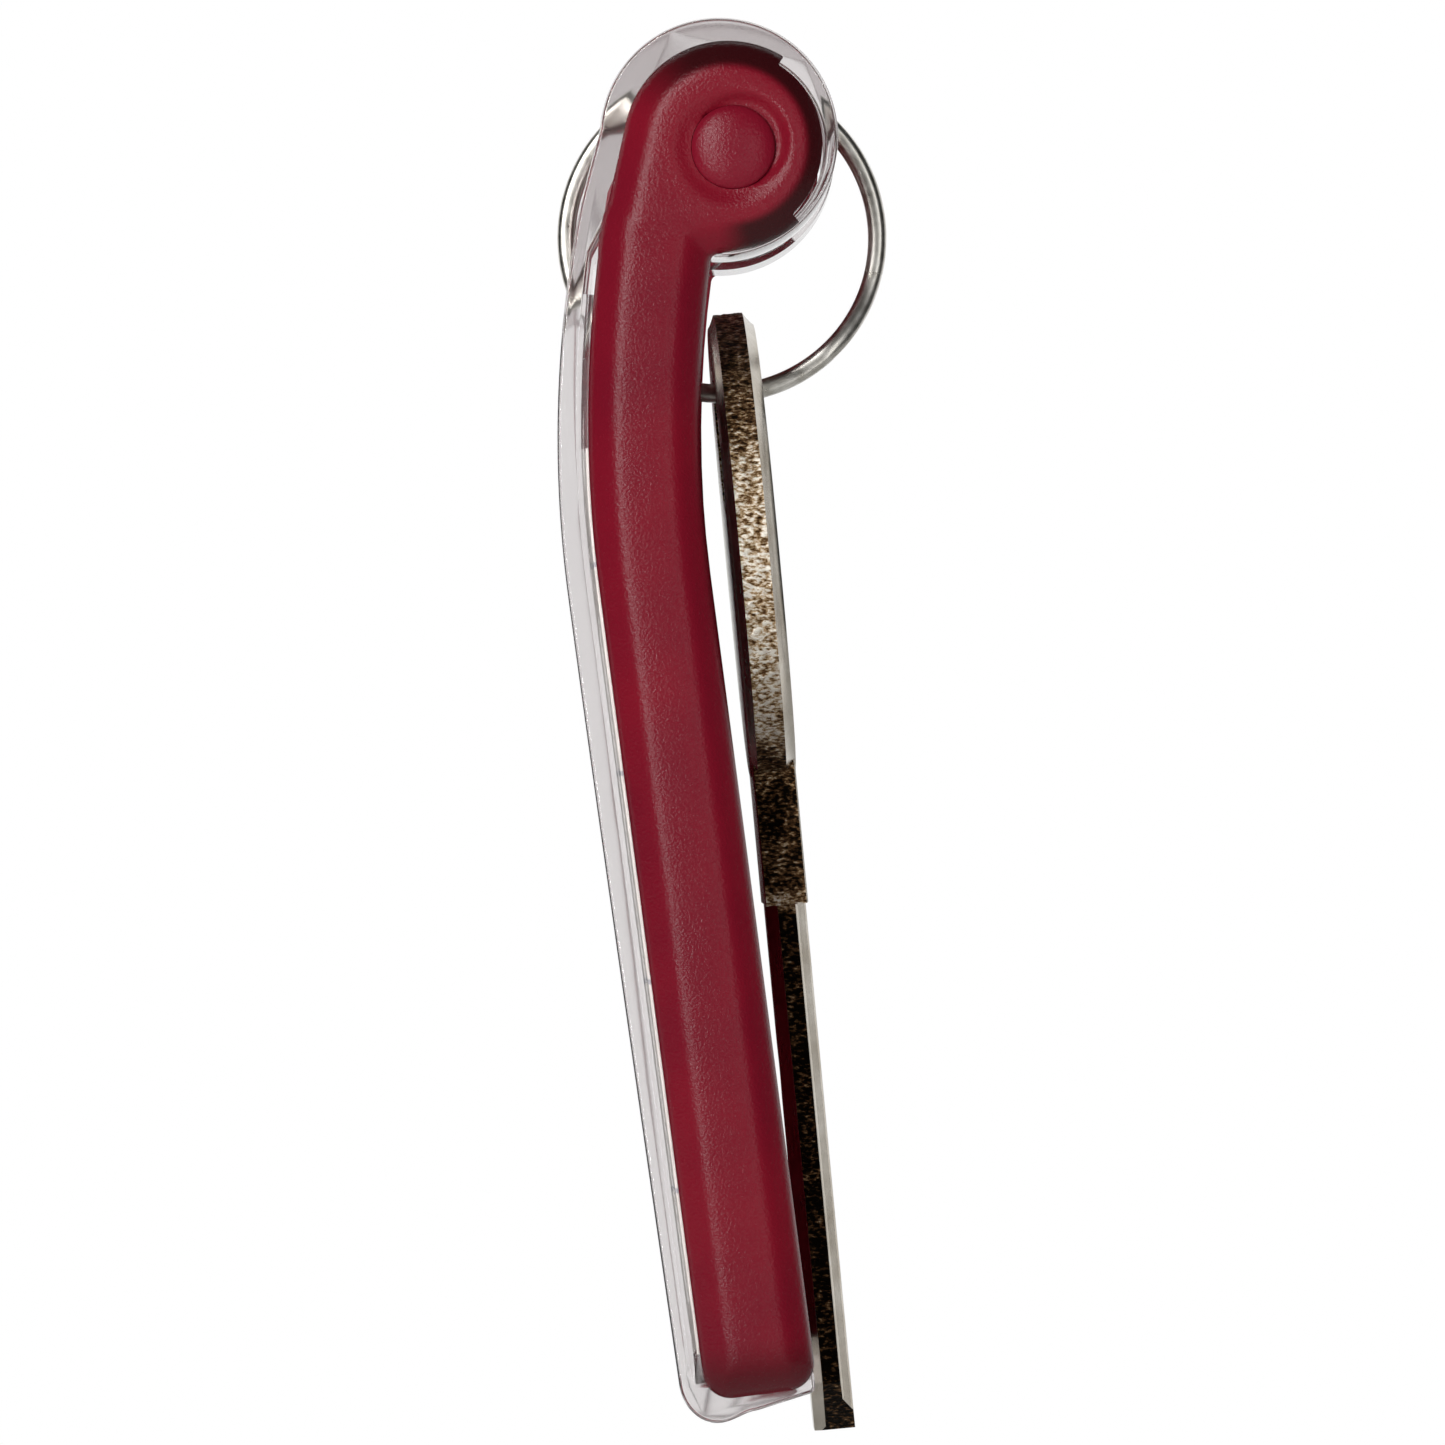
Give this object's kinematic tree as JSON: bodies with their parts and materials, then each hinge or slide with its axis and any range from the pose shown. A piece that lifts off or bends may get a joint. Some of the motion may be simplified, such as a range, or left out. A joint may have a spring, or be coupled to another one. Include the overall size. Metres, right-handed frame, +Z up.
{
  "type": "key tag with split ring and key",
  "caption": "Moulded key tag with a hinged clear cover over a paper label, hanging on a split ring that carries a cylinder key.",
  "frame": {"origin": "on the axis of the cross bar that the ring hangs on, halfway across the tag", "axes": "+Z up as the tag hangs, -Y out of the label window, X along the cross bar and the cover hinge"},
  "size_m": [0.0264, 0.016, 0.0682],
  "materials": {
    "red_moulding": "satin moulded",
    "red_pin": "satin moulded",
    "clear_moulding": "clear moulded",
    "label_paper": "white paper",
    "spring_steel": "nickel-plated wire",
    "key_nickel": "nickel-plated, stamped edge"
  },
  "bodies": {
    "tag": {"tag_body": "red_moulding", "hinge_pin": "red_pin", "label_insert": "label_paper"},
    "cover": {"clear_cover": "clear_moulding"},
    "ring": {"split_ring": "spring_steel"},
    "key": {"key": "key_nickel"}
  },
  "joints": [
    {"name": "cover_hinge", "type": "hinge", "parent": "tag", "child": "cover", "pos_m": [0, 0, 0], "axis": [-1, 0, 0], "range_deg": [0, 75]},
    {"name": "ring_swing", "type": "hinge", "parent": "tag", "child": "ring", "pos_m": [0, 0, 0], "axis": [1, 0, 0], "range_deg": [0, 90]},
    {"name": "key_swing", "type": "hinge", "parent": "ring", "child": "key", "pos_m": [0, -0.00029, -0.00389], "axis": [1, 0, 0], "range_deg": [0, 50]}
  ]
}
